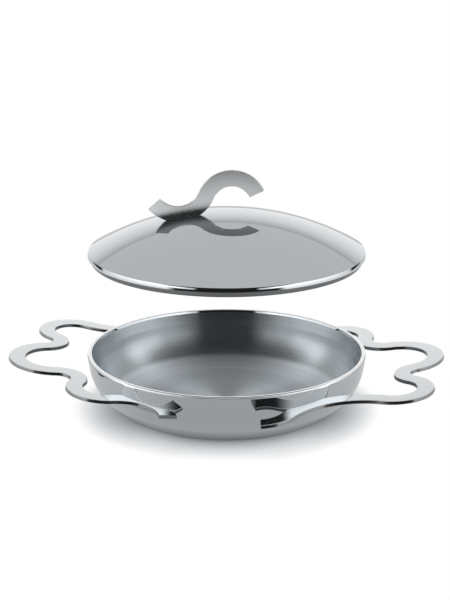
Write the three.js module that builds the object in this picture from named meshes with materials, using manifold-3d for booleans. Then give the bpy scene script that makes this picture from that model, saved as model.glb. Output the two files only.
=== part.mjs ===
// Egg pan with two wave-shaped handles and a lid, shown with the lid lifted.
// Millimetres, +Z up, origin at the centre of the base. The handles lie along X.

import * as THREE from 'three';
import { mergeVertices } from 'three/addons/utils/BufferGeometryUtils.js';
import Module from 'manifold-3d';

// Pan body
const rimRadius = 100;
const panHeight = 42.5;
const wallTaper = 8; // degrees from upright
const cornerRadius = 38; // outside, between the wall and the base
const skinThickness = 0.6; // each steel skin
const coreThickness = 1.2; // aluminium between the skins
const bondGap = 0.3; // between a skin and the core
const rimLip = 1.8; // height of the inner skin's lip over the edges of the plies
const rimRound = 0.8; // edge radius of that lip

// Handles: a flat ribbon that follows a chain of tangent arcs, radii at its centre line
const ribbonWidth = 12.4;
const ribbonThickness = 2.5;
const handleDrop = 7.4; // from the rim down to the ribbon's top face, at the wall
const handleRise = 4.8; // degrees that the ribbon climbs outwards
const handleReach = 51.7; // from the wall to the middle of the outer lobe
const handleShift = -1.5; // of the outer lobe along Y
const outerLobeRadius = 26.5;
const outerLobeBackSweep = 72;
const outerLobeFrontSweep = 98.5;
const backNotchRadius = 13.5;
const backNotchSweep = 124;
const backLobeRadius = 20.5;
const backSeatRadius = 51;
const backSeatDepth = 4.6; // how far the wall trims into the ribbon there
const backCurlRadius = 21.5;
const backCurlSweep = 57; // the curled end then points along X
const frontNotchRadius = 15.2;
const frontNotchSweep = 118;
const frontLobeRadius = 21;
const frontSeatRadius = 30;
const frontSeatDepth = 11.3;
const frontEndAngle = 7.5; // on the front seat's circle, where the ribbon ends

// Lid
const lidRadius = 98.2;
const domeRise = 25.7; // above the flange
const sheetThickness = 1.4;
const flangeThickness = 2.8;
const flangeLean = 25; // degrees that its crowned edge leans back at the top
const skirtDepth = 3.9; // below the seat, inside the rim
const skirtClearance = 0.6;
const lidLift = 72; // height of the lid's seat above the rim, as shown

// Knob: an upright S-shaped plate on the dome, radii at its centre line
const knobWidth = 11.3;
const knobThickness = 2.5;
const knobOffset = -34.5; // of the trough's lowest point along X
const knobSeatDepth = 2.9; // how far the dome trims into the trough
const troughRadius = 21.8;
const troughLeftSweep = 48;
const troughRightSweep = 68;
const archRadius = 19.4;
const archSweep = 132.5;

// Joints between pieces
const seatGap = 0.3; // between a piece and what it is trimmed to
const weldLeg = 2.2;
const weldInset = 4; // from the ends of a seat to the ends of its seam

// Fineness of the round faces
const turnSteps = 64;
const cornerSteps = 8;
const domeSteps = 9;
const edgeSteps = 4;
const arcSteps = 5; // half of the facets on each arc of a ribbon
const seamSteps = 8;

const radians = THREE.MathUtils.degToRad;
const wasm = await Module();
wasm.setup();

// Surfaces of the pan

const taper = radians(wallTaper);
const cornerTop = cornerRadius * (1 - Math.sin(taper));
const cornerTopRadius = rimRadius - (panHeight - cornerTop) * Math.tan(taper);
const baseRadius = cornerTopRadius - cornerRadius * Math.cos(taper);
const coreDepth = skinThickness + bondGap;
const innerSkinDepth = coreDepth + coreThickness + bondGap;
const wallThickness = innerSkinDepth + skinThickness;

// Radius at a height of the surface that lies a depth inside the outer one
function panRadius(height, depth) {
  const bend = cornerRadius - depth;
  const below = cornerRadius - height;
  if (below > bend * Math.sin(taper)) {
    return baseRadius + Math.sqrt(bend * bend - below * below);
  }
  return rimRadius - (panHeight - height) * Math.tan(taper) - depth / Math.cos(taper);
}

// Profile of that surface from the axis up to a height
function panProfile(depth, top) {
  const bend = cornerRadius - depth;
  const lastSine = Math.min(-Math.sin(taper), (top - cornerRadius) / bend);
  const sweep = Math.asin(lastSine) + Math.PI / 2;
  const points = [new THREE.Vector2(0, depth)];
  for (let step = 0; step <= cornerSteps; step++) {
    const angle = sweep * step / cornerSteps - Math.PI / 2;
    points.push(new THREE.Vector2(
      baseRadius + bend * Math.cos(angle), cornerRadius + bend * Math.sin(angle)));
  }
  if (top > points.at(-1).y) {
    points.push(new THREE.Vector2(panRadius(top, depth), top));
  }
  return points;
}

// A round edge, as profile points
function roundEdge(x, y, radius, start, sweep) {
  const points = [];
  for (let step = 0; step <= edgeSteps; step++) {
    const angle = radians(start + sweep * step / edgeSteps);
    points.push(new THREE.Vector2(x + radius * Math.cos(angle), y + radius * Math.sin(angle)));
  }
  return points;
}

// Surface of the dome, measured from the lid's seat

const flangeCrown = flangeThickness / Math.sin(radians(flangeLean)); // radius of the edge
const crownCentre = lidRadius - flangeCrown;
const domeEdge = crownCentre + flangeCrown * Math.cos(radians(flangeLean));
const domeRadius = (domeEdge * domeEdge + domeRise * domeRise) / (2 * domeRise);
const domeCentre = flangeThickness + domeRise - domeRadius;

function domeHeight(radius, depth) {
  const bend = domeRadius - depth;
  return domeCentre + Math.sqrt(bend * bend - radius * radius);
}

// Profile of the dome from the axis out to a radius
function domeProfile(depth, edge) {
  const points = [];
  for (let step = 0; step <= domeSteps; step++) {
    const radius = edge * step / domeSteps;
    points.push(new THREE.Vector2(radius, domeHeight(radius, depth)));
  }
  return points;
}

// Solids

function revolve(profile) {
  const geometry = new THREE.LatheGeometry(profile, turnSteps);
  geometry.rotateX(Math.PI / 2);
  return geometry;
}

// One closed body: shared corners are merged, and triangles that shrink to a line are left out
function solidOf(geometry) {
  const bare = geometry.clone();
  bare.deleteAttribute('normal');
  bare.deleteAttribute('uv');
  const merged = mergeVertices(bare);
  const corners = merged.index.array;
  const kept = [];
  for (let corner = 0; corner < corners.length; corner += 3) {
    const [a, b, c] = corners.slice(corner, corner + 3);
    if (a !== b && b !== c && c !== a) kept.push(a, b, c);
  }
  return new wasm.Manifold(new wasm.Mesh({
    numProp: 3,
    vertProperties: merged.attributes.position.array,
    triVerts: new Uint32Array(kept),
  }));
}

function geometryOf(solid) {
  const mesh = solid.getMesh();
  const geometry = new THREE.BufferGeometry();
  geometry.setAttribute('position', new THREE.BufferAttribute(mesh.vertProperties, 3));
  geometry.setIndex(new THREE.BufferAttribute(mesh.triVerts, 1));
  geometry.computeVertexNormals();
  return geometry;
}

function trim(geometry, cutters) {
  const cut = cutters.reduce((body, cutter) => body.subtract(solidOf(cutter)), solidOf(geometry));
  return geometryOf(cut);
}

// Ribbons: arcs that turn left and right by turns, each tangent to the last

function along(centre, angle, distance) {
  return new THREE.Vector2(Math.cos(angle), Math.sin(angle)).multiplyScalar(distance).add(centre);
}

function arc(centre, radius, start, sweep) {
  return { centre, radius, start, sweep, end: start + sweep };
}

function turnFrom(last, radius, sweep) {
  const centre = along(last.centre, last.end, last.radius + radius);
  return arc(centre, radius, last.end + Math.PI, -Math.sign(last.sweep) * sweep);
}

function reversed(arcs) {
  return arcs.map(({ centre, radius, end, sweep }) => arc(centre, radius, end, -sweep)).reverse();
}

// The angle from start to end, going round in the direction of the sign
function sweepTo(start, end, sign) {
  const circle = 2 * Math.PI;
  return sign * THREE.MathUtils.euclideanModulo(sign * (end - start), circle);
}

function ribbonShape(arcs, width) {
  const shape = new THREE.Shape();
  const edgeRadius = (bend, side) => bend.radius + side * Math.sign(bend.sweep) * width / 2;
  for (const bend of arcs) {
    const { x, y } = bend.centre;
    shape.absarc(x, y, edgeRadius(bend, 1), bend.start, bend.end, bend.sweep < 0);
  }
  for (const bend of reversed(arcs)) {
    const { x, y } = bend.centre;
    shape.absarc(x, y, edgeRadius(bend, 1), bend.start, bend.end, bend.sweep < 0);
  }
  return shape;
}

function extrude(shape, depth) {
  return new THREE.ExtrudeGeometry(shape, { depth, bevelEnabled: false, curveSegments: arcSteps });
}

// Course of a handle, seen from above, for the one on the -X side

const wallAtHandle = panRadius(panHeight - handleDrop, 0);
const outerLobeCentre = new THREE.Vector2(outerLobeRadius - wallAtHandle - handleReach, handleShift);

// Where circles about the lobe and about the pan's axis meet, on the given side of their centre line
function seatCentre(lobeCentre, fromLobe, fromAxis, side) {
  const span = lobeCentre.length();
  const share = (fromLobe ** 2 - fromAxis ** 2 + span ** 2) / (2 * span);
  const offset = Math.sqrt(fromLobe ** 2 - share ** 2);
  const towards = lobeCentre.clone().multiplyScalar(-1 / span);
  const across = new THREE.Vector2(-towards.y, towards.x).multiplyScalar(side * offset);
  return lobeCentre.clone().addScaledVector(towards, share).add(across);
}

// Half of the course, from the outer lobe through a notch and a lobe to the seat on the wall
function halfCourse(half) {
  const { side, lobeSweep, notchRadius, notchSweep, endLobeRadius, seatRadius, seatDepth, seatEnd } = half;
  const outerLobe = arc(outerLobeCentre, outerLobeRadius, Math.PI, -side * radians(lobeSweep));
  const notch = turnFrom(outerLobe, notchRadius, radians(notchSweep));
  const endLobe = turnFrom(notch, endLobeRadius, 0);
  const fromAxis = wallAtHandle + ribbonWidth / 2 - seatDepth + seatRadius;
  const centre = seatCentre(endLobe.centre, endLobeRadius + seatRadius, fromAxis, side);
  const touch = centre.clone().sub(endLobe.centre).angle();
  const lobe = arc(endLobe.centre, endLobeRadius, endLobe.start, sweepTo(endLobe.start, touch, -side));
  const seat = arc(centre, seatRadius, touch + Math.PI, sweepTo(touch + Math.PI, radians(seatEnd), side));
  return [outerLobe, notch, lobe, seat];
}

const backCourse = halfCourse({
  side: 1,
  lobeSweep: outerLobeBackSweep,
  notchRadius: backNotchRadius,
  notchSweep: backNotchSweep,
  endLobeRadius: backLobeRadius,
  seatRadius: backSeatRadius,
  seatDepth: backSeatDepth,
  seatEnd: backCurlSweep - 90,
});
const backSeat = backCourse.at(-1);
backCourse.push(turnFrom(backSeat, backCurlRadius, radians(backCurlSweep)));

const frontCourse = halfCourse({
  side: -1,
  lobeSweep: outerLobeFrontSweep,
  notchRadius: frontNotchRadius,
  notchSweep: frontNotchSweep,
  endLobeRadius: frontLobeRadius,
  seatRadius: frontSeatRadius,
  seatDepth: frontSeatDepth,
  seatEnd: frontEndAngle,
});
const frontSeat = frontCourse.at(-1);

// From the level plan with its top face at zero to the slope of a handle at its height on the pan
function placeOnWall(geometry) {
  geometry.translate(wallAtHandle, 0, 0);
  geometry.rotateY(radians(handleRise));
  geometry.translate(-wallAtHandle, 0, panHeight - handleDrop);
  return geometry;
}

// The pan's outer shape as a full body, grown by the seat gap, for trimming what sits on it
function fullPan() {
  const profile = panProfile(-seatGap, panHeight);
  return revolve([...profile, new THREE.Vector2(0, panHeight)]);
}

function handleGeometry() {
  const shape = ribbonShape([...reversed(backCourse), ...frontCourse], ribbonWidth);
  const ribbon = extrude(shape, ribbonThickness).translate(0, 0, -ribbonThickness);
  return trim(placeOnWall(ribbon), [fullPan()]);
}

// A round bead along points, from which the trimming leaves a fillet
function bead(points) {
  const section = new THREE.Shape().absarc(0, 0, weldLeg, 0, 2 * Math.PI);
  return new THREE.ExtrudeGeometry(section, {
    steps: seamSteps,
    curveSegments: arcSteps,
    extrudePath: new THREE.CatmullRomCurve3(points),
  });
}

// Evenly spread values between two ends
function spread(from, to) {
  return Array.from({ length: seamSteps + 1 }, (_, step) => from + (to - from) * step / seamSteps);
}

// Fillet seam under a handle, along the wall where a seat's inner edge runs into it
function handleSeam(seat) {
  const span = seat.centre.length();
  const edge = seat.radius + ribbonWidth / 2;
  const reach = Math.acos((wallAtHandle ** 2 + span ** 2 - edge ** 2) / (2 * wallAtHandle * span));
  const half = reach - weldInset / wallAtHandle;
  const middle = seat.centre.angle();
  const underside = panHeight - handleDrop - ribbonThickness / Math.cos(radians(handleRise));
  const points = spread(middle - half, middle + half).map((angle) => {
    const slope = Math.tan(radians(handleRise));
    const height = underside - slope * (wallAtHandle + wallAtHandle * Math.cos(angle));
    const { x, y } = along(new THREE.Vector2(), angle, panRadius(height, 0));
    return new THREE.Vector3(x, y, height);
  });
  const slab = new THREE.BoxGeometry(4 * rimRadius, 4 * rimRadius, panHeight);
  slab.translate(0, 0, panHeight / 2 - ribbonThickness - seatGap);
  return trim(bead(points), [placeOnWall(slab), fullPan()]);
}

// Pan plies, each a bowl between two depths of the wall

const plyTop = panHeight - rimLip - bondGap;

function bowl(outerDepth, innerDepth) {
  const outside = panProfile(outerDepth, plyTop);
  const inside = panProfile(innerDepth, plyTop);
  return revolve([...outside, ...inside.reverse()]);
}

// The cooking skin, whose lip covers the edges of the plies below it
function innerSkin() {
  const lipBottom = panHeight - rimLip;
  const shoulder = panHeight - rimRound;
  const outerCentre = panRadius(shoulder, 0) - rimRound;
  const innerCentre = panRadius(shoulder, wallThickness) + rimRound;
  return revolve([
    ...panProfile(innerSkinDepth, lipBottom),
    new THREE.Vector2(panRadius(lipBottom, 0), lipBottom),
    ...roundEdge(outerCentre, shoulder, rimRound, 0, 90),
    ...roundEdge(innerCentre, shoulder, rimRound, 90, 90),
    ...panProfile(wallThickness, lipBottom).reverse(),
  ]);
}

// Lid

const skirtRadius = panRadius(panHeight - skirtDepth, wallThickness) - skirtClearance;
const skirtInside = skirtRadius - sheetThickness;

function lidGeometry() {
  return revolve([
    ...domeProfile(sheetThickness, skirtInside),
    new THREE.Vector2(skirtInside, -skirtDepth),
    new THREE.Vector2(skirtRadius, -skirtDepth),
    new THREE.Vector2(skirtRadius, 0),
    ...roundEdge(crownCentre, 0, flangeCrown, 0, flangeLean),
    ...domeProfile(0, domeEdge).reverse().slice(1),
  ]);
}

// The dome as a full body, grown by the seat gap
function fullDome() {
  const profile = domeProfile(-seatGap, domeEdge);
  const below = -skirtDepth;
  return revolve([new THREE.Vector2(0, below), new THREE.Vector2(domeEdge, below), ...profile.reverse()]);
}

const troughOutside = troughRadius + knobWidth / 2;
const troughBottom = domeHeight(Math.abs(knobOffset), 0) - knobSeatDepth;

function knobGeometry() {
  const centre = new THREE.Vector2(knobOffset, troughBottom + troughOutside);
  const troughStart = radians(-90 - troughLeftSweep);
  const trough = arc(centre, troughRadius, troughStart, radians(troughLeftSweep + troughRightSweep));
  const arch = turnFrom(trough, archRadius, radians(archSweep));
  const plate = extrude(ribbonShape([trough, arch], knobWidth), knobThickness);
  plate.rotateX(Math.PI / 2).translate(0, knobThickness / 2, 0);
  return trim(plate, [fullDome()]);
}

// Fillet seam along the back of the knob's foot
function knobSeam() {
  const bend = 1 / (1 / troughOutside + 1 / domeRadius);
  const half = Math.sqrt(2 * bend * knobSeatDepth) - weldInset;
  const back = knobThickness / 2;
  const points = spread(knobOffset - half, knobOffset + half).map((x) => {
    const height = domeHeight(Math.hypot(x, back), 0);
    return new THREE.Vector3(x, back, height);
  });
  const slab = new THREE.BoxGeometry(4 * lidRadius, knobThickness + 2 * seatGap, 4 * lidRadius);
  return trim(bead(points), [slab, fullDome()]);
}

// Assembly

function steel(color, roughness) {
  return new THREE.MeshStandardMaterial({ color, roughness, metalness: 1 });
}

const mirrorSteel = () => steel('#c9cbcd', 0.06);
const satinSteel = () => steel('#b4b6b8', 0.34);
const coreAluminium = () => steel('#d2d3d4', 0.4);
const weldSteel = () => steel('#a9abad', 0.3);

function piece(name, geometry, material) {
  const mesh = new THREE.Mesh(geometry, material);
  mesh.name = name;
  return mesh;
}

function handle(side, turn) {
  const group = new THREE.Group();
  group.rotation.z = turn;
  group.add(
    piece(`handle_${side}`, handleGeometry(), mirrorSteel()),
    piece(`weld_${side}_${turn ? 'front' : 'back'}`, handleSeam(backSeat), weldSteel()),
    piece(`weld_${side}_${turn ? 'back' : 'front'}`, handleSeam(frontSeat), weldSteel()),
  );
  return group;
}

const pan = new THREE.Group();
pan.add(
  piece('pan_outer_ply', bowl(0, skinThickness), mirrorSteel()),
  piece('pan_core_ply', bowl(coreDepth, coreDepth + coreThickness), coreAluminium()),
  piece('pan_inner_ply', innerSkin(), satinSteel()),
  handle('left', 0),
  handle('right', Math.PI),
);

const lid = new THREE.Group();
lid.position.z = panHeight + lidLift;
lid.add(
  piece('lid_dome', lidGeometry(), mirrorSteel()),
  piece('lid_knob', knobGeometry(), mirrorSteel()),
  piece('knob_weld', knobSeam(), weldSteel()),
);

const eggPan = new THREE.Group();
eggPan.name = 'egg_pan';
eggPan.add(pan, lid);

export default eggPan;
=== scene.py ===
import math

import bpy
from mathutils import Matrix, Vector


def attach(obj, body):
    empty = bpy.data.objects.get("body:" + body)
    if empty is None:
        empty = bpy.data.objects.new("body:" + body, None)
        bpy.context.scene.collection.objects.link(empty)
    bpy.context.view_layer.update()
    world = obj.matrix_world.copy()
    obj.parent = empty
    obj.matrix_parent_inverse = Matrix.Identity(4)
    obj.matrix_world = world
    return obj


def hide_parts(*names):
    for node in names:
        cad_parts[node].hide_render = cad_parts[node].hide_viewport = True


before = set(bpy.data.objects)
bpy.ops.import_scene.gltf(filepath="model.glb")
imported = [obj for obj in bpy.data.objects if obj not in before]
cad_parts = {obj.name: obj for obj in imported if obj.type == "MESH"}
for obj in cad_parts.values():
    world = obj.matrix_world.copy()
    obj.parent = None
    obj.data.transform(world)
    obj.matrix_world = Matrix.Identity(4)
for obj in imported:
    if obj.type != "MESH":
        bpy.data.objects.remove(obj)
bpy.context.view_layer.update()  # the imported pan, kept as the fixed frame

mm = 0.001
samePlace = 0.1 * mm  # what is closer than this counts as one place
print("frame loaded with", len(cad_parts), "nodes")


# Small tools that every piece uses

def linear(hexText):
    # sRGB hex to the linear colour that a shader takes
    parts = [int(hexText[at:at + 2], 16) / 255 for at in (1, 3, 5)]
    bent = [part / 12.92 if part <= 0.04045 else ((part + 0.055) / 1.055) ** 2.4 for part in parts]
    return (*bent, 1)


def addNode(tree, kind, settings=None, values=None, links=None):
    node = tree.nodes.new(kind)
    for field, value in (settings or {}).items():
        setattr(node, field, value)
    for socket, value in (values or {}).items():
        node.inputs[socket].default_value = value
    for socket, source in (links or {}).items():
        tree.links.new(source, node.inputs[socket])
    return node


def takeUp(piece):
    bpy.ops.object.select_all(action="DESELECT")
    piece.select_set(True)
    bpy.context.view_layer.objects.active = piece


def startEdit(name):
    piece = bpy.context.object
    piece.name = name
    bpy.ops.object.mode_set(mode="EDIT")
    bpy.ops.mesh.select_all(action="SELECT")
    return piece


def endEdit():
    bpy.ops.mesh.select_all(action="SELECT")
    bpy.ops.mesh.normals_make_consistent(inside=False)
    bpy.ops.object.mode_set(mode="OBJECT")


def pick(piece, kind, test):
    # leaves the piece in edit mode with only what passes the test selected
    bpy.ops.object.mode_set(mode="EDIT")
    bpy.ops.mesh.select_mode(type=kind)
    bpy.ops.mesh.select_all(action="DESELECT")
    bpy.ops.object.mode_set(mode="OBJECT")
    for item in (piece.data.vertices if kind == "VERT" else piece.data.polygons):
        item.select = test(item)
    bpy.ops.object.mode_set(mode="EDIT")


def turnBy(degrees, axis):
    # right-handed turn about the origin: with no window the operator counts the other way
    bpy.ops.transform.rotate(value=-math.radians(degrees), orient_axis=axis, center_override=(0, 0, 0))


def moveBy(x, y, z):
    bpy.ops.transform.translate(value=(x * mm, y * mm, z * mm))


def turnRings(name, rings, segments):
    # a disc drawn out ring by ring, as on a lathe: rings are (radius, height)
    bpy.ops.object.select_all(action="DESELECT")
    radius, height = rings[0]
    bpy.ops.mesh.primitive_circle_add(vertices=segments, radius=radius * mm, fill_type="NGON")
    piece = startEdit(name)
    moveBy(0, 0, height)
    for nextRadius, nextHeight in rings[1:]:
        rise = (0, 0, (nextHeight - height) * mm)
        grow = nextRadius / radius
        bpy.ops.mesh.extrude_region_move(TRANSFORM_OT_translate={"value": rise})
        bpy.ops.transform.resize(value=(grow, grow, 1), center_override=(0, 0, 0))
        radius, height = nextRadius, nextHeight
    endEdit()
    return piece


def trimWith(piece, cutter):
    takeUp(piece)
    trim = piece.modifiers.new("trim", "BOOLEAN")
    trim.operation = "DIFFERENCE"
    trim.solver = "EXACT"
    trim.object = cutter
    bpy.ops.object.modifier_apply(modifier=trim.name)


def smoothPiece(piece, angle, weighted=False):
    takeUp(piece)
    bpy.ops.object.shade_smooth_by_angle(angle=math.radians(angle))
    if weighted:  # flat faces stay flat beside their rounded edges
        normals = piece.modifiers.new("normals", "WEIGHTED_NORMAL")
        normals.keep_sharp = True
        bpy.ops.object.modifier_apply(modifier=normals.name)


def halfTurnCopy(piece, name):
    takeUp(piece)
    bpy.ops.object.duplicate()
    copy = startEdit(name)
    turnBy(180, "Z")
    bpy.ops.object.mode_set(mode="OBJECT")
    return copy


def put(piece, body, node, slot, *finishes):
    for finish in finishes:
        piece.data.materials.append(finish)
    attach(piece, body)
    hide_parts(node)


# Finishes: the colour, the size of the marks that the tool left in mm, and the roughness over them

finishLook = {
    "mirror": {"colour": "#c4c8cb", "marks": 14, "detail": 3, "rough": (0.02, 0.05)},     # the wheel's haze
    # the polished and buffed colours are painted light, lighter than the mirror steel of the same sheet
    "polished": {"colour": "#e4e7e9", "marks": 14, "detail": 3, "rough": (0.05, 0.08)},
    "buffed": {"colour": "#e4e7e9", "marks": 14, "detail": 3, "rough": (0.16, 0.2)},
    "ground": {"colour": "#f6f8f9", "marks": 0.5, "detail": 2, "rough": (0.08, 0.14)},    # lines of the belt; the near-white colour is a painted highlight
    "sheared": {"colour": "#7d7f81", "marks": 0.5, "detail": 2, "rough": (0.1, 0.2)},     # lines of the punch; the dark colour is painted shade
    # painted shade: the turned colour is darker than the steel
    "turned": {"colour": "#6a6c6e", "marks": 0.8, "detail": 2, "rough": (0.26, 0.36)},
    "weld": {"colour": "#a9aaab", "marks": 0.6, "detail": 4, "rough": (0.22, 0.4)},
    "core": {"colour": "#c9cacb", "marks": 1.5, "detail": 2, "rough": (0.3, 0.45)},
}


def newFinish(name):
    finish = bpy.data.materials.new(name)
    finish.use_nodes = True
    finish.node_tree.nodes.clear()
    return finish, finish.node_tree


def metalFinish(name, look):
    # bare metal whose gloss changes a little from mark to mark
    finish, tree = newFinish(name)
    place = addNode(tree, "ShaderNodeTexCoord")
    marks = addNode(tree, "ShaderNodeTexNoise",
                    values={"Scale": 1 / (look["marks"] * mm), "Detail": look["detail"]},
                    links={"Vector": place.outputs["Object"]})
    smoothest, roughest = look["rough"]
    gloss = addNode(tree, "ShaderNodeMapRange", values={"To Min": smoothest, "To Max": roughest},
                    links={"Value": marks.outputs["Fac"]})
    metal = addNode(tree, "ShaderNodeBsdfPrincipled",
                    values={"Base Color": linear(look["colour"]), "Metallic": 1},
                    links={"Roughness": gloss.outputs["Result"]})
    addNode(tree, "ShaderNodeOutputMaterial", links={"Surface": metal.outputs["BSDF"]})
    return finish


# Stainless steel, mirror buffed: sharp reflections, with a trace of haze from the wheel
mirrorSteel = metalFinish("stainlessMirrorBuffed", finishLook["mirror"])
# Stainless steel, polished flat: the faces of the handles, with the wall's reflection sharp in them; painted
# light: their colour is lighter than the pan's steel
polishedSteelPaintedLight = metalFinish("stainlessPolishedFlatPaintedLight", finishLook["polished"])
# Stainless steel, buffed to a soft gloss: the faces of the knob, which show only soft patches of light and
# shade; painted light: its colour is lighter than the pan's steel
buffedSteelPaintedLight = metalFinish("stainlessBuffedPaintedLight", finishLook["buffed"])
# Stainless steel, belt ground: the top of the rim, with a painted highlight: its colour is lighter than the
# steel so that it shows as a bright line round the pan
groundSteelPaintedHighlight = metalFinish("stainlessBeltGroundPaintedHighlight", finishLook["ground"])
# Stainless steel, sheared: the cut sides of the ribbons, rough, with painted shade: their colour is darkened
# beside their faces
shearedSteelPaintedShade = metalFinish("stainlessShearedPaintedShade", finishLook["sheared"])
# Stainless steel, turned, with painted shade: the skirt and the underside of the lid, coloured darker grey
# beside the mirror
turnedSteelPaintedShade = metalFinish("stainlessTurnedPaintedShade", finishLook["turned"])
# Weld metal, brushed bright: a duller grain than the sheet beside it
weldSteel = metalFinish("weldMetalBrushed", finishLook["weld"])
# Aluminium, rolled: the core between the skins, soft grey where it shows at all
coreAluminium = metalFinish("aluminiumRolled", finishLook["core"])

satinLook = {
    # painted light and shade: the floor colour is lighter than the wall colour
    "floor": "#dde4e9",
    "wall": "#adb3b7",
    "corner": (8.5, 12.5),      # mm of height over which the painted light of the floor gives way to the darker wall
    "lines": 0.8,               # mm between brush lines, drawn coarser than the real 0.1 mm so that they show
    "detail": 4,
    "lineSpan": (0.3, 0.7),     # the part of the noise that the lines are drawn from
    "lineTone": (0.88, 1.06),   # how far they darken and lighten the steel
    "rough": (0.27, 0.33),
    "floorRougher": 0.12,       # the floor is brushed coarser than the wall
    "stretch": 0.9,             # how far the brushing draws reflections out
    "stretchTurn": 0.25,        # a quarter turn, from along the lines to across them
}

# Stainless steel, satin brushed round the axis: rings that draw every reflection out up and down the wall;
# its floor is painted lighter and its wall darker, as painted light and shade
satinSteel, tree = newFinish("stainlessSatinBrushedRound")
place = addNode(tree, "ShaderNodeTexCoord")
axes = addNode(tree, "ShaderNodeSeparateXYZ", links={"Vector": place.outputs["Object"]})
level = addNode(tree, "ShaderNodeCombineXYZ", links={"X": axes.outputs["X"], "Y": axes.outputs["Y"]})
reach = addNode(tree, "ShaderNodeVectorMath", {"operation": "LENGTH"}, links={0: level.outputs["Vector"]})
course = addNode(tree, "ShaderNodeCombineXYZ", links={"X": reach.outputs["Value"], "Y": axes.outputs["Z"]})
lines = addNode(tree, "ShaderNodeTexNoise", {"noise_dimensions": "2D"},
                values={"Scale": 1 / (satinLook["lines"] * mm), "Detail": satinLook["detail"]},
                links={"Vector": course.outputs["Vector"]})
cornerFoot, cornerHead = satinLook["corner"]
climb = addNode(tree, "ShaderNodeMapRange", {"interpolation_type": "SMOOTHSTEP"},
                values={"From Min": cornerFoot * mm, "From Max": cornerHead * mm},
                links={"Value": axes.outputs["Z"]})
tint = addNode(tree, "ShaderNodeMix", {"data_type": "RGBA"},
               values={6: linear(satinLook["floor"]), 7: linear(satinLook["wall"])},
               links={0: climb.outputs["Result"]})
spanLow, spanHigh = satinLook["lineSpan"]
toneLow, toneHigh = satinLook["lineTone"]
streaks = addNode(tree, "ShaderNodeMapRange",
                  values={"From Min": spanLow, "From Max": spanHigh, "To Min": toneLow, "To Max": toneHigh},
                  links={"Value": lines.outputs["Fac"]})
tint = addNode(tree, "ShaderNodeMix", {"data_type": "RGBA", "blend_type": "MULTIPLY"}, values={0: 1},
               links={6: tint.outputs[2], 7: streaks.outputs["Result"]})
smoothest, roughest = satinLook["rough"]
gloss = addNode(tree, "ShaderNodeMapRange", values={"To Min": smoothest, "To Max": roughest},
                links={"Value": lines.outputs["Fac"]})
coarser = addNode(tree, "ShaderNodeMapRange", values={"To Min": satinLook["floorRougher"], "To Max": 0},
                  links={"Value": climb.outputs["Result"]})
gloss = addNode(tree, "ShaderNodeMath", {"operation": "ADD"},
                links={0: gloss.outputs["Result"], 1: coarser.outputs["Result"]})
lay = addNode(tree, "ShaderNodeTangent", {"direction_type": "RADIAL", "axis": "Z"})
steel = addNode(tree, "ShaderNodeBsdfPrincipled",
                values={"Metallic": 1, "Anisotropic": satinLook["stretch"],
                        "Anisotropic Rotation": satinLook["stretchTurn"]},
                links={"Base Color": tint.outputs[2], "Roughness": gloss.outputs["Value"],
                       "Tangent": lay.outputs["Tangent"]})
addNode(tree, "ShaderNodeOutputMaterial", links={"Surface": steel.outputs["BSDF"]})
print("finishes made")


# Pan: three plies turned about Z, in mm

panForm = {
    "rimRadius": 100,
    "height": 42.5,
    "taper": 8,
    "cornerRadius": 38,
    "skin": 0.6,
    "core": 1.2,
    "bond": 0.3,
    "lip": 1.8,
    "lipRound": (0.2, 1.1),         # inside and outside
    "lipLean": 3,                   # degrees that the top of the rim falls inwards
    "insideFlare": 7,               # degrees that the brushed wall opens more than the outside
    "polishFoot": 0.2,              # above the foot of the lip, where the brushing ends
    "paintedHighlightFacing": 0.55,           # faces of the rim that look up more than this get the painted highlight
    "baseInset": 3,                 # from the corner to the first ring of the flat base
    "wallShares": (0.15, 0.85, 1),  # short rings at both ends keep the wall's shading straight
    "segments": 192,
    "cornerSteps": 30,
    "lipSteps": 5,
    "smooth": 30,                   # degrees up to which an edge is smoothed
}
taper = math.radians(panForm["taper"])
cornerTop = panForm["cornerRadius"] * (1 - math.sin(taper))
cornerTopRadius = panForm["rimRadius"] - (panForm["height"] - cornerTop) * math.tan(taper)
baseRadius = cornerTopRadius - panForm["cornerRadius"] * math.cos(taper)
coreDepth = panForm["skin"] + panForm["bond"]
innerSkinDepth = coreDepth + panForm["core"] + panForm["bond"]
wallThickness = innerSkinDepth + panForm["skin"]
lipBottom = panForm["height"] - panForm["lip"]


def panRadius(height, depth):
    bend = panForm["cornerRadius"] - depth
    below = panForm["cornerRadius"] - height
    if below > bend * math.sin(taper):
        return baseRadius + math.sqrt(bend ** 2 - below ** 2)
    return panForm["rimRadius"] - (panForm["height"] - height) * math.tan(taper) - depth / math.cos(taper)


def wallRings(depth, top):
    # flat base, round corner, then the straight wall up to a height
    bend = panForm["cornerRadius"] - depth
    rings = [(baseRadius - panForm["baseInset"], depth)]
    steps = panForm["cornerSteps"]
    for step in range(steps + 1):
        angle = (math.pi / 2 - taper) * step / steps - math.pi / 2
        rings.append((baseRadius + bend * math.cos(angle), panForm["cornerRadius"] + bend * math.sin(angle)))
    lowest = rings[-1][1]
    for share in panForm["wallShares"]:
        height = lowest + (top - lowest) * share
        rings.append((panRadius(height, depth), height))
    return rings


def roundRings(x, y, radius, start, sweep, steps):
    angles = [math.radians(start + sweep * step / steps) for step in range(steps + 1)]
    return [(x + radius * math.cos(angle), y + radius * math.sin(angle)) for angle in angles]


def plyRings(outerDepth, innerDepth, top):
    return wallRings(outerDepth, top) + wallRings(innerDepth, top)[::-1]


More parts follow.
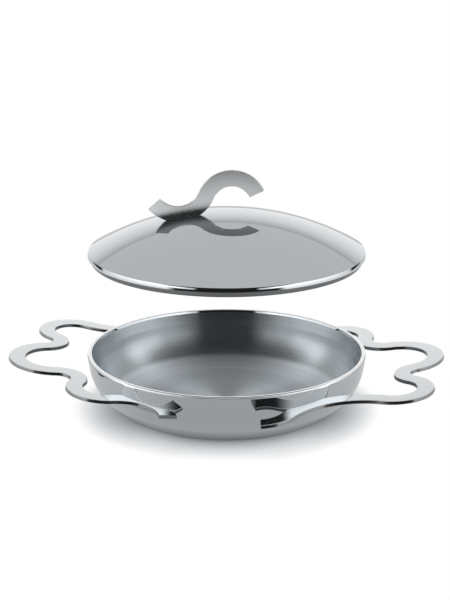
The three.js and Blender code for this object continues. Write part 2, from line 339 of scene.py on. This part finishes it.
def cookingSkinRings():
    inEdge, outEdge = panForm["lipRound"]
    shoulder = panForm["height"] - outEdge
    outer = panRadius(shoulder, 0) - outEdge
    inner = panRadius(shoulder, wallThickness) + inEdge
    steps = panForm["lipSteps"]
    lean = panForm["lipLean"]
    fall = (outer - inner) * math.tan(math.radians(lean))
    inTop = panForm["height"] - fall - inEdge
    inside = wallRings(wallThickness, inTop - inEdge)
    flare = math.tan(math.radians(panForm["insideFlare"]))
    inside = [(radius - flare * min(inTop - height, inTop - cornerTop), height) for radius, height in inside]
    overLip = roundRings(inner, inTop, inEdge, 180, lean - 90, steps)
    overLip += roundRings(outer, shoulder, outEdge, 90 + lean, -90 - lean, steps)
    underLip = [(panRadius(lipBottom, 0), lipBottom)]
    return inside + overLip + underLip + wallRings(innerSkinDepth, lipBottom)[::-1]


outerPly = turnRings("panOuterPly", plyRings(0, panForm["skin"], lipBottom), panForm["segments"])
coreRings = plyRings(coreDepth, coreDepth + panForm["core"], lipBottom - panForm["bond"])
corePly = turnRings("panCorePly", coreRings, panForm["segments"])
innerPly = turnRings("panInnerPly", cookingSkinRings(), panForm["segments"])
for face in innerPly.data.polygons:  # brushed inside, polished round the rim, and ground on its top, where a painted highlight lightens the up-facing faces
    face.material_index = 0
    if face.center.z > (lipBottom + panForm["polishFoot"]) * mm:
        face.material_index = 2 if face.normal.z > panForm["paintedHighlightFacing"] else 1
for piece in (outerPly, corePly, innerPly):
    smoothPiece(piece, panForm["smooth"])
put(outerPly, "pan", "pan_outer_ply", "mirror_steel", mirrorSteel)
put(corePly, "pan", "pan_core_ply", "core_aluminium", coreAluminium)
put(innerPly, "pan", "pan_inner_ply", "satin_steel", satinSteel, mirrorSteel, groundSteelPaintedHighlight)

# the pan's outside as a full body, for trimming what is welded to it
panBlock = turnRings("panBlock", wallRings(0, panForm["height"]), panForm["segments"])
print("pan turned")


# Ribbons: a rounded section spun along a chain of arcs, laid out level and then placed

ribbonForm = {
    "edgeRound": 0.35,
    "edgeSteps": 3,
    "stepAngle": 3,     # degrees of an arc between two sections
    "cutFacing": 0.5,   # faces that look up or down less than this are cut sides
    "smooth": 40,
}


def arc(centre, radius, start, sweep):
    return {"centre": centre, "radius": radius, "start": start, "sweep": sweep, "end": start + sweep}


def along(centre, angle, distance):
    return (centre[0] + distance * math.cos(angle), centre[1] + distance * math.sin(angle))


def turnFrom(last, radius, sweep):
    centre = along(last["centre"], last["end"], last["radius"] + radius)
    return arc(centre, radius, last["end"] + math.pi, -math.copysign(sweep, last["sweep"]))


def spinAlong(arcs):
    for bend in arcs:
        steps = math.ceil(abs(bend["sweep"]) / math.radians(ribbonForm["stepAngle"]))
        x, y = bend["centre"]
        bpy.ops.mesh.spin(steps=steps, angle=-bend["sweep"], center=(x * mm, y * mm, 0), axis=(0, 0, 1))


def spinRibbon(name, width, thickness, draft, oneWay, otherWay):
    # both chains start at the same point, and go away from it on either side
    first = oneWay[0]
    x, y = along(first["centre"], first["start"], first["radius"])
    bpy.ops.object.select_all(action="DESELECT")
    bpy.ops.mesh.primitive_plane_add(size=1)
    piece = startEdit(name)
    bpy.ops.transform.resize(value=(width * mm, thickness * mm, 1))
    pick(piece, "VERT", lambda corner: corner.co.y > 0)
    narrow = 1 - 2 * thickness / width * math.tan(math.radians(draft))
    bpy.ops.transform.resize(value=(narrow, 1, 1), center_override=(0, 0, 0))
    bpy.ops.mesh.select_all(action="SELECT")
    turnBy(90, "X")
    bpy.ops.mesh.bevel(offset=ribbonForm["edgeRound"] * mm, segments=ribbonForm["edgeSteps"],
                       affect="VERTICES")
    bpy.ops.mesh.select_all(action="SELECT")
    turnBy(math.degrees(first["start"]), "Z")
    moveBy(x, y, 0)
    spinAlong(oneWay)
    start = Vector((x * mm, y * mm, 0))
    pick(piece, "FACE", lambda face: (face.center - start).length < samePlace)
    spinAlong(otherWay)
    endEdit()
    for face in piece.data.polygons:  # the cut sides take the second finish, whose darker colour is painted shade
        face.material_index = 1 if abs(face.normal.z) < ribbonForm["cutFacing"] else 0
    return piece


handleForm = {
    "width": 12.4,
    "thickness": 2.5,
    "draft": 12,        # degrees that the cut sides lean in towards the top
    "drop": 7.4,        # from the rim down to the seat
    "rise": 4.8,        # degrees that the handle slopes up outwards
    "reach": 51.7,
    "shift": -1.5,
    "lobeRadius": 26.5,
    "back": {"side": 1, "lobeSweep": 72, "notchRadius": 13.5, "notchSweep": 124, "endLobeRadius": 20.5,
             "seatRadius": 51, "seatDepth": 4.6, "seatEnd": -33},
    "front": {"side": -1, "lobeSweep": 98.5, "notchRadius": 15.2, "notchSweep": 118, "endLobeRadius": 21,
              "seatRadius": 30, "seatDepth": 11.3, "seatEnd": 7.5},
    "curlRadius": 21.5,
    "curlSweep": 57,
}
handleTop = panForm["height"] - handleForm["drop"]
wallAtHandle = panRadius(handleTop, 0)
lobeCentre = (handleForm["lobeRadius"] - wallAtHandle - handleForm["reach"], handleForm["shift"])


def sweepTo(start, end, sign):
    return sign * ((sign * (end - start)) % (2 * math.pi))


def halfCourse(half):
    # outer lobe, notch, end lobe and the seat on the wall, each arc tangent to the last
    side = half["side"]
    outerLobe = arc(lobeCentre, handleForm["lobeRadius"], math.pi, -side * math.radians(half["lobeSweep"]))
    notch = turnFrom(outerLobe, half["notchRadius"], math.radians(half["notchSweep"]))
    endLobe = turnFrom(notch, half["endLobeRadius"], 0)
    fromLobe = half["endLobeRadius"] + half["seatRadius"]
    fromAxis = wallAtHandle + handleForm["width"] / 2 - half["seatDepth"] + half["seatRadius"]
    span = math.hypot(*endLobe["centre"])
    share = (fromLobe ** 2 - fromAxis ** 2 + span ** 2) / (2 * span)
    offset = side * math.sqrt(fromLobe ** 2 - share ** 2)
    towards = (-endLobe["centre"][0] / span, -endLobe["centre"][1] / span)
    seatCentre = (endLobe["centre"][0] + towards[0] * share - towards[1] * offset,
                  endLobe["centre"][1] + towards[1] * share + towards[0] * offset)
    touch = math.atan2(seatCentre[1] - endLobe["centre"][1], seatCentre[0] - endLobe["centre"][0])
    lobeSweep = sweepTo(endLobe["start"], touch, -side)
    lobe = arc(endLobe["centre"], half["endLobeRadius"], endLobe["start"], lobeSweep)
    seatStart = touch + math.pi
    seatSweep = sweepTo(seatStart, math.radians(half["seatEnd"]), side)
    return [outerLobe, notch, lobe, arc(seatCentre, half["seatRadius"], seatStart, seatSweep)]


backCourse = halfCourse(handleForm["back"])
frontCourse = halfCourse(handleForm["front"])
backSeat, frontSeat = backCourse[-1], frontCourse[-1]
backCourse.append(turnFrom(backSeat, handleForm["curlRadius"], math.radians(handleForm["curlSweep"])))


def placeOnWall(piece):
    # from the level plan to the slope of a handle at its height
    takeUp(piece)
    bpy.ops.object.mode_set(mode="EDIT")
    bpy.ops.mesh.select_all(action="SELECT")
    moveBy(wallAtHandle, 0, 0)
    turnBy(handleForm["rise"], "Y")
    moveBy(-wallAtHandle, 0, handleTop)
    bpy.ops.object.mode_set(mode="OBJECT")


def lower(piece, depth):
    takeUp(piece)
    bpy.ops.object.mode_set(mode="EDIT")
    bpy.ops.mesh.select_all(action="SELECT")
    moveBy(0, 0, -depth)
    bpy.ops.object.mode_set(mode="OBJECT")


handleLeft = spinRibbon("handleLeft", handleForm["width"], handleForm["thickness"], handleForm["draft"],
                        backCourse, frontCourse)
lower(handleLeft, handleForm["thickness"] / 2)
placeOnWall(handleLeft)
trimWith(handleLeft, panBlock)
smoothPiece(handleLeft, ribbonForm["smooth"], weighted=True)
handleRight = halfTurnCopy(handleLeft, "handleRight")
put(handleLeft, "pan", "handle_left", "mirror_steel", polishedSteelPaintedLight, shearedSteelPaintedShade)
put(handleRight, "pan", "handle_right", "mirror_steel", polishedSteelPaintedLight, shearedSteelPaintedShade)
print("handles bent and trimmed to the wall")


# Weld seams: a rippled bead spun along its seat, then trimmed to a fillet

weldForm = {"leg": 2.2, "inset": 4, "ripple": 0.12, "rippleLength": 1.1, "sides": 20, "smooth": 40}


def spinBead(name, centre, height, radius, start, end):
    steps = 2 * round(abs(end - start) * radius / weldForm["rippleLength"])
    bpy.ops.object.select_all(action="DESELECT")
    bpy.ops.mesh.primitive_circle_add(vertices=weldForm["sides"], radius=weldForm["leg"] * mm,
                                      fill_type="NGON")
    piece = startEdit(name)
    turnBy(90, "X")
    moveBy(radius, 0, 0)
    turnBy(math.degrees(start), "Z")
    moveBy(*centre, height)
    middle = (centre[0] * mm, centre[1] * mm, height * mm)
    bpy.ops.mesh.spin(steps=steps, angle=start - end, center=middle, axis=(0, 0, 1))
    bpy.ops.mesh.select_all(action="SELECT")
    bpy.ops.mesh.normals_make_consistent(inside=False)

    def betweenRipples(point):
        angle = math.atan2(point.co.y - middle[1], point.co.x - middle[0])
        return round((angle - start) % (2 * math.pi) / abs(end - start) * steps) % 2 == 1

    pick(piece, "VERT", betweenRipples)
    bpy.ops.transform.shrink_fatten(value=-weldForm["ripple"] * mm)
    endEdit()
    return piece


def slab(name, size, low, high):
    bpy.ops.object.select_all(action="DESELECT")
    bpy.ops.mesh.primitive_cube_add(size=1)
    piece = startEdit(name)
    bpy.ops.transform.resize(value=(size * mm, size * mm, (high - low) * mm))
    moveBy(0, 0, (high + low) / 2)
    endEdit()
    return piece


# a block from the handles' undersides up, wider than the pan, for trimming the seams below them
handleSlab = slab("handleSlab", 4 * panForm["rimRadius"], -handleForm["thickness"], panForm["height"])
placeOnWall(handleSlab)


def handleSeam(name, seat):
    span = math.hypot(*seat["centre"])
    edge = seat["radius"] + handleForm["width"] / 2
    reach = math.acos((wallAtHandle ** 2 + span ** 2 - edge ** 2) / (2 * wallAtHandle * span))
    half = reach - weldForm["inset"] / wallAtHandle
    middle = math.atan2(seat["centre"][1], seat["centre"][0])
    fall = math.tan(math.radians(handleForm["rise"])) * wallAtHandle * (1 + math.cos(middle))
    wall = panRadius(handleTop - handleForm["thickness"] - fall, 0)
    piece = spinBead(name, (0, 0), -handleForm["thickness"], wall, middle - half, middle + half)
    placeOnWall(piece)
    trimWith(piece, handleSlab)
    trimWith(piece, panBlock)
    smoothPiece(piece, weldForm["smooth"])
    return piece


weldLeftBack = handleSeam("weldLeftBack", backSeat)
weldLeftFront = handleSeam("weldLeftFront", frontSeat)
weldRightFront = halfTurnCopy(weldLeftBack, "weldRightFront")
weldRightBack = halfTurnCopy(weldLeftFront, "weldRightBack")
put(weldLeftBack, "pan", "weld_left_back", "weld_steel", weldSteel)
put(weldLeftFront, "pan", "weld_left_front", "weld_steel", weldSteel)
put(weldRightFront, "pan", "weld_right_front", "weld_steel", weldSteel)
put(weldRightBack, "pan", "weld_right_back", "weld_steel", weldSteel)
print("handle seams laid")


# Lid: a dome turned about Z, measured from its seat and lifted as the photograph shows it

lidForm = {
    "radius": 98.2,
    "domeRise": 25.7,
    "sheet": 1.4,
    "flange": 2.8,
    "flangeLean": (8, 19),      # degrees that the crowned edge leans back, at its foot and at its top
    "flangeSteps": 8,
    "skirt": 3.9,
    "skirtClearance": 0.6,
    "skirtRound": 0.4,
    "skirtSteps": 3,
    "paintedShadeFacing": -0.3,         # faces that look down more than this get the painted shade
    "lift": 72,
    "crown": 1.5,               # radius of the small cap at the top of the turning
    "domeSteps": 40,
    "segments": 192,
    "smooth": 25,
}
lidSeat = panForm["height"] + lidForm["lift"]
footLean, topLean = [math.radians(lean) for lean in lidForm["flangeLean"]]
flangeCrown = lidForm["flange"] / (math.sin(topLean) - math.sin(footLean))
crownCentre = (lidForm["radius"] - flangeCrown * math.cos(footLean), -flangeCrown * math.sin(footLean))
domeEdge = crownCentre[0] + flangeCrown * math.cos(topLean)
domeRadius = (domeEdge ** 2 + lidForm["domeRise"] ** 2) / (2 * lidForm["domeRise"])
domeCentre = lidForm["flange"] + lidForm["domeRise"] - domeRadius
skirtRadius = panRadius(panForm["height"] - lidForm["skirt"], wallThickness) - lidForm["skirtClearance"]


def domeHeight(radius, depth):
    return domeCentre + math.sqrt((domeRadius - depth) ** 2 - radius ** 2)


def domeRings(depth, edge):
    steps = lidForm["domeSteps"]
    radii = [lidForm["crown"] + (edge - lidForm["crown"]) * step / steps for step in range(steps + 1)]
    return [(radius, domeHeight(radius, depth)) for radius in radii]


def lidRings():
    edge = lidForm["skirtRound"]
    inside = skirtRadius - lidForm["sheet"]
    foot = edge - lidForm["skirt"]
    top = domeRings(0, domeEdge)
    footAngle, topAngle = lidForm["flangeLean"]
    flange = roundRings(*crownCentre, flangeCrown, topAngle, footAngle - topAngle, lidForm["flangeSteps"])
    skirt = [(skirtRadius + edge, 0), (skirtRadius, -edge)]
    skirt += roundRings(skirtRadius - edge, foot, edge, 0, -90, lidForm["skirtSteps"])
    skirt += roundRings(inside + edge, foot, edge, -90, -90, lidForm["skirtSteps"])
    return top + flange[1:] + skirt + domeRings(lidForm["sheet"], inside)[::-1]


def raiseCrowns(piece):
    # the flat caps at the poles are poked, and their middles moved out to the sphere
    takeUp(piece)
    pick(piece, "FACE", lambda face: len(face.vertices) == lidForm["segments"])
    bpy.ops.mesh.poke()
    pick(piece, "VERT", lambda point: math.hypot(point.co.x, point.co.y) < samePlace)
    moveBy(0, 0, lidForm["crown"] ** 2 / (2 * domeRadius))
    bpy.ops.object.mode_set(mode="OBJECT")


def liftLid(piece):
    lower(piece, -lidSeat)


lidDome = turnRings("lidDome", lidRings(), lidForm["segments"])
raiseCrowns(lidDome)
for face in lidDome.data.polygons:  # the skirt and the underside take painted shade, a darker colour than the mirror
    paintedShadeFace = face.center.z < -samePlace or face.normal.z < lidForm["paintedShadeFacing"]
    face.material_index = 1 if paintedShadeFace else 0
liftLid(lidDome)
smoothPiece(lidDome, lidForm["smooth"])
put(lidDome, "lid", "lid_dome", "mirror_steel", mirrorSteel, turnedSteelPaintedShade)
domeBlock = turnRings("domeBlock", domeRings(0, domeEdge) + [(domeEdge, 0)], lidForm["segments"])
liftLid(domeBlock)
print("lid turned")


# Knob: an upright S of the same kind of ribbon, trimmed to the dome

knobForm = {
    "width": 11.3,
    "thickness": 2.5,
    "draft": 0,
    "offset": -34.5,    # from the lid's axis to the lowest point of the S
    "seatDepth": 2.9,   # that the S would sink into the dome, and is trimmed
    "troughRadius": 21.8,
    "leftSweep": 48,
    "rightSweep": 68,
    "archRadius": 19.4,
    "archSweep": 132.5,
}
troughOutside = knobForm["troughRadius"] + knobForm["width"] / 2
troughFoot = domeHeight(abs(knobForm["offset"]), 0) - knobForm["seatDepth"]
troughCentre = (knobForm["offset"], troughFoot + troughOutside)
down = -math.pi / 2
troughLeft = arc(troughCentre, knobForm["troughRadius"], down, -math.radians(knobForm["leftSweep"]))
troughRight = arc(troughCentre, knobForm["troughRadius"], down, math.radians(knobForm["rightSweep"]))
arch = turnFrom(troughRight, knobForm["archRadius"], math.radians(knobForm["archSweep"]))


def standUp(piece):
    # from the level plan to an upright plate on the lid
    takeUp(piece)
    bpy.ops.object.mode_set(mode="EDIT")
    bpy.ops.mesh.select_all(action="SELECT")
    turnBy(90, "X")
    moveBy(0, 0, lidSeat)
    bpy.ops.object.mode_set(mode="OBJECT")


lidKnob = spinRibbon("lidKnob", knobForm["width"], knobForm["thickness"], knobForm["draft"],
                     [troughRight, arch], [troughLeft])
standUp(lidKnob)
trimWith(lidKnob, domeBlock)
smoothPiece(lidKnob, ribbonForm["smooth"], weighted=True)
put(lidKnob, "lid", "lid_knob", "mirror_steel", buffedSteelPaintedLight, shearedSteelPaintedShade)

# the seam follows the dome along the back of the S, between the points where the S leaves the dome
back = knobForm["thickness"] / 2
bend = 1 / (1 / troughOutside + 1 / domeRadius)
half = math.sqrt(2 * bend * knobForm["seatDepth"]) - weldForm["inset"]
ends = [math.pi / 2 - math.asin((knobForm["offset"] + side * half) / domeRadius) for side in (1, -1)]
knobWeld = spinBead("knobWeld", (0, domeCentre), -back, domeRadius, *ends)
knobSlab = slab("knobSlab", 4 * lidForm["radius"], -back, back)
standUp(knobWeld)
standUp(knobSlab)
trimWith(knobWeld, knobSlab)
trimWith(knobWeld, domeBlock)
smoothPiece(knobWeld, weldForm["smooth"])
put(knobWeld, "lid", "knob_weld", "weld_steel", weldSteel)
for block in (panBlock, handleSlab, domeBlock, knobSlab):
    bpy.data.objects.remove(block)
print("knob bent and seamed")


# Stage: a white floor in a white studio, dark on the camera's side

roomLook = {
    "wall": (1.06, 0.58),           # light of the back wall, at the horizon and at its top
    "wallTop": (25.5, 27),          # degrees above the horizon, as all heights here
    "wallBend": 3.7,                # power by which the wall's light falls off
    "ceiling": 0.76,
    "ground": 0.62,                 # light of the floor beyond the paper, behind the pan
    "groundTop": (-2, 0),
    "groundSides": (128, 146),      # degrees from the camera's bearing, as all sides here
    "side": (1.2, 2.4),             # light of the side panels, at the horizon and at their middle
    "sideMiddle": 20,
    "sideTop": (28, 44),
    "sideFront": (28, 40),
    "sideBack": (98, 118),
    "dark": 0.02,                   # light of the unlit front of the room
    "darkTop": (46, 52),
    "darkHalfWidth": (23, 28),
    "lowTop": (8, 10),              # it is wider close to the floor
    "lowHalfWidth": (40, 50),
    "barFoot": (15, 16.5),          # has a bar across it, seen in the edge of the lid
    "barTop": (20.5, 22),
    "barHalfWidth": (60, 68),
    "highFoot": (27, 31),           # and is wider again above the bright part of the sides
    "highHalfWidth": (36, 60),
    "panel": (0.4, 0.2),            # light of the panel over the camera, from its foot to its top
    "panelFoot": (21, 23),
    "panelTop": 42,
    "panelHalfWidth": (16, 19),
    "flagFront": (116, 122),        # the dark flags at the left and right of the back wall
    "flagBack": (150, 160),
    "flagFoot": (-6, -4),
    "flagTop": (7, 10),
}


def sine(*angles):
    return [math.sin(math.radians(angle)) for angle in angles]


def bearingOf(*angles):
    return [-math.cos(math.radians(angle)) for angle in angles]


world = bpy.data.worlds.new("whiteStudio")
world.use_nodes = True
bpy.context.scene.world = world
tree = world.node_tree
tree.nodes.clear()
place = addNode(tree, "ShaderNodeTexCoord")
axes = addNode(tree, "ShaderNodeSeparateXYZ", links={"Vector": place.outputs["Generated"]})
height = axes.outputs["Z"]
level = addNode(tree, "ShaderNodeCombineXYZ", links={"X": axes.outputs["X"], "Y": axes.outputs["Y"]})
level = addNode(tree, "ShaderNodeVectorMath", {"operation": "NORMALIZE"}, links={0: level.outputs["Vector"]})
bearing = addNode(tree, "ShaderNodeSeparateXYZ", links={"Vector": level.outputs["Vector"]}).outputs["Y"]

# the light of each panel, by height
climb = addNode(tree, "ShaderNodeMapRange", values={"From Max": sine(roomLook["wallTop"][0])[0]},
                links={"Value": height})
climb = addNode(tree, "ShaderNodeMath", {"operation": "POWER"}, values={1: roomLook["wallBend"]},
                links={0: climb.outputs["Result"]})
panels = {
    "wall": (climb.outputs["Value"], (0, 1), roomLook["wall"]),
    "side": (height, (0, sine(roomLook["sideMiddle"])[0]), roomLook["side"]),
    "panel": (height, sine(roomLook["panelFoot"][1], roomLook["panelTop"]), roomLook["panel"]),
}
for name, (source, (low, high), (foot, top)) in panels.items():
    panels[name] = addNode(tree, "ShaderNodeMapRange",
                           values={"From Min": low, "From Max": high, "To Min": foot, "To Max": top},
                           links={"Value": source}).outputs["Result"]

# the soft edges of the panels: what each one reads, and its share before and after
edges = {
    "ceilingFoot": (height, sine(*roomLook["wallTop"]), (0, 1)),
    "groundTop": (height, sine(*roomLook["groundTop"]), (1, 0)),
    "groundSides": (bearing, bearingOf(*roomLook["groundSides"]), (0, 1)),
    "sideFront": (bearing, bearingOf(*roomLook["sideFront"]), (0, 1)),
    "sideBack": (bearing, bearingOf(*roomLook["sideBack"]), (1, 0)),
    "sideTop": (height, sine(*roomLook["sideTop"]), (1, 0)),
    "darkSides": (bearing, bearingOf(*roomLook["darkHalfWidth"]), (1, 0)),
    "darkTop": (height, sine(*roomLook["darkTop"]), (1, 0)),
    "lowSides": (bearing, bearingOf(*roomLook["lowHalfWidth"]), (1, 0)),
    "lowTop": (height, sine(*roomLook["lowTop"]), (1, 0)),
    "highSides": (bearing, bearingOf(*roomLook["highHalfWidth"]), (1, 0)),
    "highFoot": (height, sine(*roomLook["highFoot"]), (0, 1)),
    "barSides": (bearing, bearingOf(*roomLook["barHalfWidth"]), (1, 0)),
    "barFoot": (height, sine(*roomLook["barFoot"]), (0, 1)),
    "barTop": (height, sine(*roomLook["barTop"]), (1, 0)),
    "panelSides": (bearing, bearingOf(*roomLook["panelHalfWidth"]), (1, 0)),
    "panelFoot": (height, sine(*roomLook["panelFoot"]), (0, 1)),
    "flagFront": (bearing, bearingOf(*roomLook["flagFront"]), (0, 1)),
    "flagBack": (bearing, bearingOf(*roomLook["flagBack"]), (1, 0)),
    "flagFoot": (height, sine(*roomLook["flagFoot"]), (0, 1)),
    "flagTop": (height, sine(*roomLook["flagTop"]), (1, 0)),
}
for name, (source, (low, high), (before, after)) in edges.items():
    edges[name] = addNode(tree, "ShaderNodeMapRange", {"interpolation_type": "SMOOTHSTEP"},
                          values={"From Min": low, "From Max": high, "To Min": before, "To Max": after},
                          links={"Value": source}).outputs["Result"]

# each panel laid over the ones before it
layers = [
    (["ceilingFoot"], {3: roomLook["ceiling"]}, {}),
    (["groundTop", "groundSides"], {3: roomLook["ground"]}, {}),
    (["sideFront", "sideBack", "sideTop"], {}, {3: panels["side"]}),
    (["darkSides", "darkTop"], {3: roomLook["dark"]}, {}),
    (["lowSides", "lowTop"], {3: roomLook["dark"]}, {}),
    (["highSides", "highFoot", "darkTop"], {3: roomLook["dark"]}, {}),
    (["barSides", "barFoot", "barTop"], {3: roomLook["dark"]}, {}),
    (["panelSides", "panelFoot", "darkTop"], {}, {3: panels["panel"]}),
    (["flagFront", "flagBack", "flagFoot", "flagTop"], {3: roomLook["dark"]}, {}),
]
light = panels["wall"]
for names, plain, graded in layers:
    share = edges[names[0]]
    for name in names[1:]:
        share = addNode(tree, "ShaderNodeMath", {"operation": "MULTIPLY"},
                        links={0: share, 1: edges[name]}).outputs[0]
    light = addNode(tree, "ShaderNodeMix", values=plain, links={0: share, 2: light, **graded}).outputs[0]
path = addNode(tree, "ShaderNodeLightPath")
seen = addNode(tree, "ShaderNodeMix", values={3: 1}, links={0: path.outputs["Is Camera Ray"], 2: light})
sky = addNode(tree, "ShaderNodeBackground", values={"Color": (1, 1, 1, 1)},
              links={"Strength": seen.outputs[0]})
addNode(tree, "ShaderNodeOutputWorld", links={"Surface": sky.outputs["Background"]})

paperLook = {
    "light": "#ffffff",
    "shade": "#dbe4ee",
    "size": 2.4,                    # m
    "drop": 0.05,                   # mm below the base, so that the two don't share a plane
    "near": (130, 500),             # mm from the pan's axis, over which metal mirrors the paper lighter
    "nearLight": (0.56, 0.92),
    "side": (50, 150),              # mm to the left and right, over which it gets lighter again
    "sideLight": (1, 1.25),
    "front": (-850, -640),          # mm, the front end of the lit paper
    "frontLight": (0, 1),
    "back": (350, 550),             # mm, where the paper behind the pan gets darker
    "backLight": (1, 0.68),
    "shadowReach": (12, 30),        # mm, in the metal and to the eye
    "shadowSamples": 16,
    "shadowSide": (45, 95),         # mm to the left and right, over which the shadow gets deeper
    "shadowFade": (0.48, 0.9),
    "shadowEnd": 0.87,              # share of open sky at which the paper is fully white
}

# Paper, drawn as a white glow: white all over to the eye, with a painted shadow from occlusion close to what
# stands on it, and painted light graded across it where metal mirrors it
paper, tree = newFinish("paperGlowPaintedShadow")
place = addNode(tree, "ShaderNodeTexCoord")
reach = addNode(tree, "ShaderNodeVectorMath", {"operation": "LENGTH"}, links={0: place.outputs["Object"]})
axes = addNode(tree, "ShaderNodeSeparateXYZ", links={"Vector": place.outputs["Object"]})
across = addNode(tree, "ShaderNodeMath", {"operation": "ABSOLUTE"}, links={0: axes.outputs["X"]})
spreads = [
    (reach.outputs["Value"], paperLook["near"], paperLook["nearLight"]),
    (across.outputs["Value"], paperLook["side"], paperLook["sideLight"]),
    (axes.outputs["Y"], paperLook["front"], paperLook["frontLight"]),
    (axes.outputs["Y"], paperLook["back"], paperLook["backLight"]),
]
parts = []
for source, (low, high), (before, after) in spreads:
    spread = addNode(tree, "ShaderNodeMapRange", {"interpolation_type": "SMOOTHSTEP"},
                     values={"From Min": low * mm, "From Max": high * mm, "To Min": before, "To Max": after},
                     links={"Value": source})
    parts.append(spread.outputs["Result"])
lit = parts[0]
for part in parts[1:]:
    lit = addNode(tree, "ShaderNodeMath", {"operation": "MULTIPLY"}, links={0: lit, 1: part}).outputs[0]
path = addNode(tree, "ShaderNodeLightPath")
seen = addNode(tree, "ShaderNodeMix", values={3: 1}, links={0: path.outputs["Is Camera Ray"], 2: lit})
samples = {"samples": paperLook["shadowSamples"]}
shadowNear, shadowFar = paperLook["shadowReach"]
# the shadow is painted from occlusion, not cast by the lamps
near = addNode(tree, "ShaderNodeAmbientOcclusion", samples, values={"Distance": shadowNear * mm})
far = addNode(tree, "ShaderNodeAmbientOcclusion", samples, values={"Distance": shadowFar * mm})
shade = addNode(tree, "ShaderNodeMix",
                links={0: path.outputs["Is Camera Ray"], 2: near.outputs["AO"], 3: far.outputs["AO"]})
sideNear, sideFar = paperLook["shadowSide"]
fadeNear, fadeFar = paperLook["shadowFade"]
fade = addNode(tree, "ShaderNodeMapRange", {"interpolation_type": "SMOOTHSTEP"},
               values={"From Min": sideNear * mm, "From Max": sideFar * mm,
                       "To Min": fadeNear, "To Max": fadeFar},
               links={"Value": across.outputs["Value"]})
shade = addNode(tree, "ShaderNodeMath", {"operation": "POWER"},
                links={0: shade.outputs[0], 1: fade.outputs["Result"]})
shade = addNode(tree, "ShaderNodeMapRange", values={"From Max": paperLook["shadowEnd"]},
                links={"Value": shade.outputs[0]})
strength = addNode(tree, "ShaderNodeMath", {"operation": "MULTIPLY"},
                   links={0: seen.outputs[0], 1: shade.outputs["Result"]})
tint = addNode(tree, "ShaderNodeMix", {"data_type": "RGBA"},
               values={6: linear(paperLook["shade"]), 7: linear(paperLook["light"])},
               links={0: shade.outputs["Result"]})
white = addNode(tree, "ShaderNodeEmission", links={"Color": tint.outputs[2], "Strength": strength.outputs[0]})
addNode(tree, "ShaderNodeOutputMaterial", links={"Surface": white.outputs["Emission"]})
bpy.ops.object.select_all(action="DESELECT")
bpy.ops.mesh.primitive_plane_add(size=paperLook["size"], location=(0, 0, -paperLook["drop"] * mm))
floor = bpy.context.object
floor.name = "floor"
floor.data.materials.append(paper)

cameraSetup = {
    "place": (0.0006, -1.09, 0.4114),   # m
    "down": 16.925,                     # degrees below level
    "turn": 0.094,                      # degrees to the left
    "lens": 95.84,
    "sensor": 36,
}
camera = bpy.data.cameras.new("photoCamera")
camera.lens = cameraSetup["lens"]
camera.sensor_width = cameraSetup["sensor"]
eye = bpy.data.objects.new("photoCamera", camera)
eye.location = cameraSetup["place"]
eye.rotation_euler = (math.radians(90 - cameraSetup["down"]), 0, math.radians(cameraSetup["turn"]))
bpy.context.scene.collection.objects.link(eye)
bpy.context.scene.camera = eye
bpy.context.scene.view_settings.view_transform = "Standard"
print("stage set")
